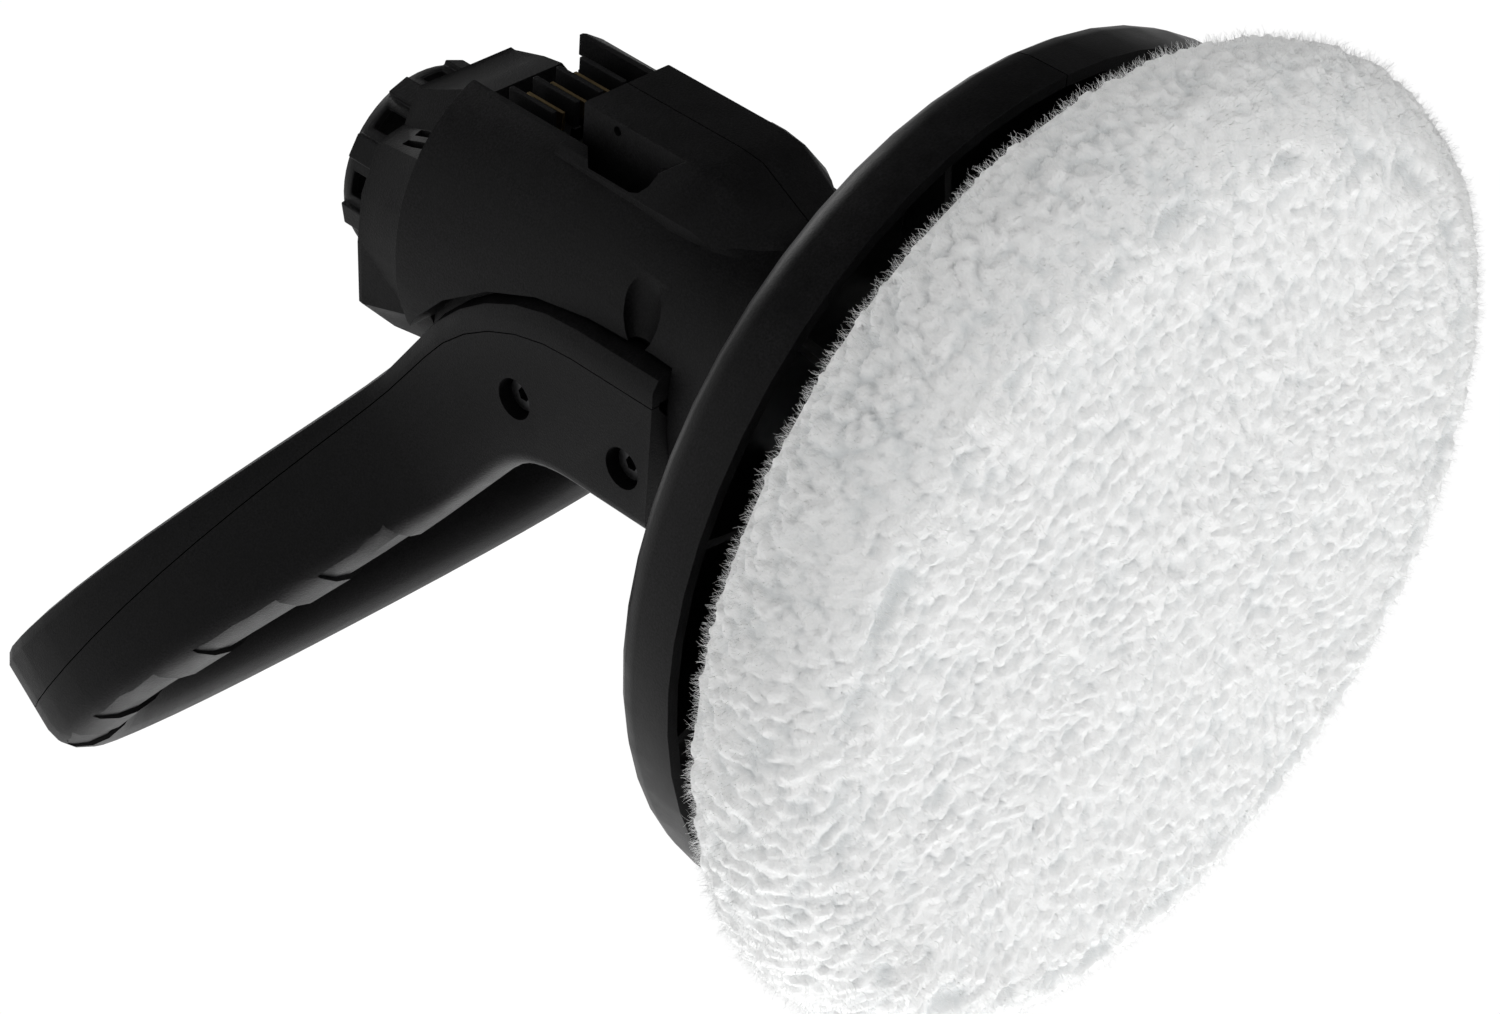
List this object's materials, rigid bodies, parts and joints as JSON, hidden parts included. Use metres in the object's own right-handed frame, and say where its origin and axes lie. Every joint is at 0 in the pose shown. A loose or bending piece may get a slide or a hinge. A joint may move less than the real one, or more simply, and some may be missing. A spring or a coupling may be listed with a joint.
{
  "type": "rotary polisher",
  "caption": "Cordless rotary polisher: wool bonnet over a round pad, shallow shroud, barrel motor housing with an open battery dock, and a wide bolted loop handle.",
  "frame": {"origin": "centre of the bonnet's working face, on the spindle axis", "axes": "+Z along the spindle axis from the pad to the motor, +Y towards the battery dock, X across the body, handle towards -Y"},
  "size_m": [0.254, 0.3136, 0.3209],
  "materials": {
    "black_plastic": "fine texture, satin on the shroud",
    "dark_plastic": "satin",
    "white_wool": "tufted pile",
    "grey_foam": "open-cell foam",
    "white_elastic": "woven elastic",
    "steel": "machined",
    "black_steel": "black oxide",
    "brass": "machined",
    "cast_aluminium": "cast",
    "white_nylon": "moulded",
    "copper_windings": "enamelled windings",
    "carbon": "pressed",
    "green_board": "solder mask",
    "red_insulation": "smooth",
    "black_insulation": "smooth"
  },
  "bodies": {
    "housing": {"ring_gear": "steel", "gearbox_cover": "cast_aluminium", "gearbox_housing": "cast_aluminium", "spindle_bearing_lower": "steel", "spindle_bearing_upper": "steel", "motor_can": "steel", "motor_end_bell": "cast_aluminium", "motor_bearing_front": "steel", "motor_bearing_rear": "steel", "carbon_brush_1": "carbon", "carbon_brush_2": "carbon", "motor_magnet_1": "carbon", "motor_magnet_2": "carbon", "left_housing": "black_plastic", "right_housing": "black_plastic", "housing_screw_1": "black_steel", "housing_screw_2": "black_steel", "housing_screw_3": "black_steel", "housing_screw_4": "black_steel", "rear_collar": "black_plastic", "motor_end_cap": "dark_plastic", "terminal_block": "dark_plastic", "contact_blade_1": "brass", "contact_blade_2": "brass", "contact_blade_3": "brass", "control_board": "green_board", "switch_body": "dark_plastic", "motor_lead_red": "red_insulation", "motor_lead_black": "black_insulation", "handle_upper": "black_plastic", "handle_lower": "black_plastic", "handle_screw_left_1": "black_steel", "handle_screw_left_2": "black_steel", "handle_screw_right_1": "black_steel", "handle_screw_right_2": "black_steel"},
    "spindle": {"spindle": "steel", "planet_pin_1": "steel", "planet_pin_2": "steel", "planet_pin_3": "steel", "backing_plate": "dark_plastic", "foam_pad": "grey_foam", "wool_bonnet": "white_wool", "elastic_hem": "white_elastic", "pad_washer": "steel", "pad_bolt": "black_steel"},
    "rotor": {"motor_shaft": "steel", "rotor_core": "copper_windings", "commutator": "brass", "sun_gear": "steel", "cooling_fan": "white_nylon"},
    "planet_1": {"planet_gear_1": "steel"},
    "planet_2": {"planet_gear_2": "steel"},
    "planet_3": {"planet_gear_3": "steel"},
    "switch": {"switch_rocker": "dark_plastic"}
  },
  "joints": [
    {"name": "spindle_spin", "type": "hinge", "parent": "housing", "child": "spindle", "pos_m": [0, 0, 0.07], "axis": [0, 0, 1], "continuous": true},
    {"name": "motor_spin", "type": "hinge", "parent": "housing", "child": "rotor", "pos_m": [0, 0, 0.168], "axis": [0, 0, 1], "continuous": true},
    {"name": "planet_1_spin", "type": "hinge", "parent": "spindle", "child": "planet_1", "pos_m": [0.015, 0, 0.109], "axis": [0, 0, 1], "continuous": true},
    {"name": "planet_2_spin", "type": "hinge", "parent": "spindle", "child": "planet_2", "pos_m": [-0.0075, 0.01299, 0.109], "axis": [0, 0, 1], "continuous": true},
    {"name": "planet_3_spin", "type": "hinge", "parent": "spindle", "child": "planet_3", "pos_m": [-0.0075, -0.01299, 0.109], "axis": [0, 0, 1], "continuous": true},
    {"name": "power_rocker", "type": "hinge", "parent": "housing", "child": "switch", "pos_m": [0, -0.043, 0.199], "axis": [1, 0, 0], "range_deg": [-7, 7]}
  ],
  "couplings": [
    {"joint": "motor_spin", "follows": "spindle_spin", "ratio": 5},
    {"joint": "planet_1_spin", "follows": "spindle_spin", "ratio": -2.6667},
    {"joint": "planet_2_spin", "follows": "spindle_spin", "ratio": -2.6667},
    {"joint": "planet_3_spin", "follows": "spindle_spin", "ratio": -2.6667}
  ]
}
